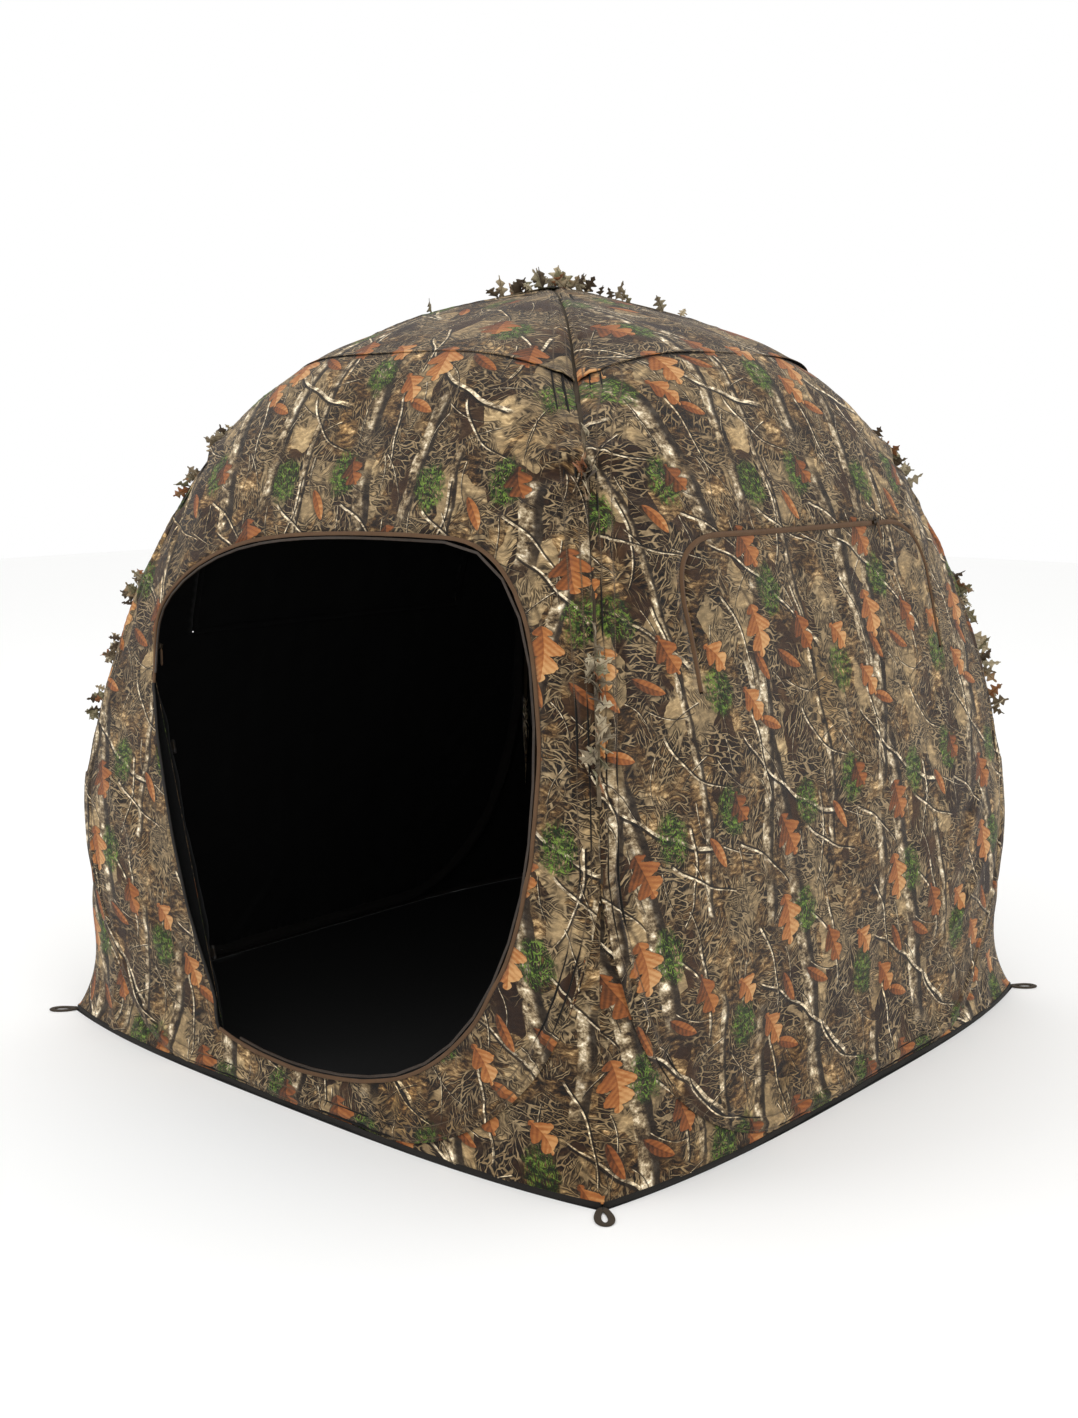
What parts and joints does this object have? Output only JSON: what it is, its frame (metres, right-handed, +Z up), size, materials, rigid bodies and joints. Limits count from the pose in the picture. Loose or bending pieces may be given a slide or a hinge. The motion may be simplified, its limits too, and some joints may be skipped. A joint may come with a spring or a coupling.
{
  "type": "pop up ground blind",
  "caption": "Square pop-up ground blind: spring-steel hoops, camouflage walls and domed roof, open D-shaped doorway, zipped window covers and corner stake loops.",
  "frame": {"origin": "on the ground under the apex, at the bottom centre of the bounding box", "axes": "+Z up; -Y out of the door wall; +X out of the wall to the right of the door, seen from outside it"},
  "size_m": [1.7014, 1.7014, 1.6905],
  "materials": {
    "camouflage_fabric": "woven polyester printed with a woodland pattern, black coated inside",
    "spring_steel": "flat spring-steel band",
    "ferrule_metal": "crimped metal ferrule",
    "sleeve_tape": "dark woven hoop sleeve",
    "hem_tape": "black woven hem binding",
    "webbing": "dark brown woven webbing",
    "leaf_trim": "leaf-cut fabric trim",
    "brown_binding": "brown woven binding and zip tape",
    "zip_chain": "brown coil zip",
    "slider_metal": "dark coated zip slider",
    "pull_tape": "brown zip pull"
  },
  "bodies": {
    "cabin": {"door_binding": "brown_binding", "door_slider": "slider_metal", "door_zip": "zip_chain", "gusset_back_left": "camouflage_fabric", "gusset_back_right": "camouflage_fabric", "gusset_front_left": "camouflage_fabric", "gusset_front_right": "camouflage_fabric", "hem_binding_back": "hem_tape", "hem_binding_front": "hem_tape", "hem_binding_left": "hem_tape", "hem_binding_right": "hem_tape", "hoop_back": "spring_steel", "hoop_ferrule_back": "ferrule_metal", "hoop_ferrule_front": "ferrule_metal", "hoop_ferrule_left": "ferrule_metal", "hoop_ferrule_right": "ferrule_metal", "hoop_front": "spring_steel", "hoop_left": "spring_steel", "hoop_right": "spring_steel", "hoop_sleeve_back": "sleeve_tape", "hoop_sleeve_front": "sleeve_tape", "hoop_sleeve_left": "sleeve_tape", "hoop_sleeve_right": "sleeve_tape", "leaf_strip_lower_back_left": "leaf_trim", "leaf_strip_lower_back_right": "leaf_trim", "leaf_strip_lower_front_left": "leaf_trim", "leaf_strip_lower_front_right": "leaf_trim", "leaf_strip_roof": "leaf_trim", "leaf_strip_upper_back_left": "leaf_trim", "leaf_strip_upper_back_right": "leaf_trim", "leaf_strip_upper_front_left": "leaf_trim", "leaf_strip_upper_front_right": "leaf_trim", "roof_gore_back": "camouflage_fabric", "roof_gore_front": "camouflage_fabric", "roof_gore_left": "camouflage_fabric", "roof_gore_right": "camouflage_fabric", "wall_back": "camouflage_fabric", "wall_front": "camouflage_fabric", "wall_left": "camouflage_fabric", "wall_right": "camouflage_fabric", "window_zip_back": "brown_binding", "window_zip_left": "brown_binding", "window_zip_right": "brown_binding"},
    "door_flap": {"door_flap": "camouflage_fabric", "door_tie_lower": "webbing", "door_tie_upper": "webbing"},
    "door_pull": {"door_pull": "pull_tape"},
    "window_cover_right": {"window_cover_right": "camouflage_fabric"},
    "window_slider_right": {"window_slider_right": "slider_metal"},
    "window_pull_right": {"window_pull_right": "pull_tape"},
    "window_cover_back": {"window_cover_back": "camouflage_fabric"},
    "window_slider_back": {"window_slider_back": "slider_metal"},
    "window_pull_back": {"window_pull_back": "pull_tape"},
    "window_cover_left": {"window_cover_left": "camouflage_fabric"},
    "window_slider_left": {"window_slider_left": "slider_metal"},
    "window_pull_left": {"window_pull_left": "pull_tape"},
    "stake_loop_front_right": {"stake_loop_front_right": "webbing"},
    "stake_loop_back_right": {"stake_loop_back_right": "webbing"},
    "stake_loop_back_left": {"stake_loop_back_left": "webbing"},
    "stake_loop_front_left": {"stake_loop_front_left": "webbing"}
  },
  "joints": [
    {"name": "door_flap_swing", "type": "hinge", "parent": "cabin", "child": "door_flap", "pos_m": [-0.20993, -0.81999, 0.09834], "axis": [0.3802, -0.0965, -0.9199], "range_deg": [0, 90]},
    {"name": "door_pull_swing", "type": "hinge", "parent": "cabin", "child": "door_pull", "pos_m": [-0.50199, -0.72815, 0.87484], "axis": [0.9933, -0.1155, 0], "range_deg": [-20, 120]},
    {"name": "window_cover_right_swing", "type": "hinge", "parent": "cabin", "child": "window_cover_right", "pos_m": [0.7424, 0, 0.868], "axis": [0, -1, 0], "range_deg": [0, 150]},
    {"name": "window_slider_right_travel", "type": "slide", "parent": "cabin", "child": "window_slider_right", "axis": [0, -1, 0], "range_m": [0, 0.5]},
    {"name": "window_pull_right_swing", "type": "hinge", "parent": "window_slider_right", "child": "window_pull_right", "pos_m": [0.69418, 0.25, 1.14959], "axis": [0, -1, 0], "range_deg": [0, 90]},
    {"name": "window_cover_back_swing", "type": "hinge", "parent": "cabin", "child": "window_cover_back", "pos_m": [0, 0.7424, 0.868], "axis": [1, 0, 0], "range_deg": [0, 150]},
    {"name": "window_slider_back_travel", "type": "slide", "parent": "cabin", "child": "window_slider_back", "axis": [1, 0, 0], "range_m": [0, 0.5]},
    {"name": "window_pull_back_swing", "type": "hinge", "parent": "window_slider_back", "child": "window_pull_back", "pos_m": [-0.25, 0.69418, 1.14959], "axis": [1, 0, 0], "range_deg": [0, 90]},
    {"name": "window_cover_left_swing", "type": "hinge", "parent": "cabin", "child": "window_cover_left", "pos_m": [-0.7424, 0, 0.868], "axis": [0, 1, 0], "range_deg": [0, 150]},
    {"name": "window_slider_left_travel", "type": "slide", "parent": "cabin", "child": "window_slider_left", "axis": [0, 1, 0], "range_m": [0, 0.5]},
    {"name": "window_pull_left_swing", "type": "hinge", "parent": "window_slider_left", "child": "window_pull_left", "pos_m": [-0.69418, -0.25, 1.14959], "axis": [0, 1, 0], "range_deg": [0, 90]},
    {"name": "stake_loop_front_right_fold", "type": "hinge", "parent": "cabin", "child": "stake_loop_front_right", "pos_m": [0.7945, -0.7945, 0.0015], "axis": [-0.7071, -0.7071, 0], "range_deg": [0, 90]},
    {"name": "stake_loop_back_right_fold", "type": "hinge", "parent": "cabin", "child": "stake_loop_back_right", "pos_m": [0.7945, 0.7945, 0.0015], "axis": [0.7071, -0.7071, 0], "range_deg": [0, 90]},
    {"name": "stake_loop_back_left_fold", "type": "hinge", "parent": "cabin", "child": "stake_loop_back_left", "pos_m": [-0.7945, 0.7945, 0.0015], "axis": [0.7071, 0.7071, 0], "range_deg": [0, 90]},
    {"name": "stake_loop_front_left_fold", "type": "hinge", "parent": "cabin", "child": "stake_loop_front_left", "pos_m": [-0.7945, -0.7945, 0.0015], "axis": [-0.7071, 0.7071, 0], "range_deg": [0, 90]}
  ]
}
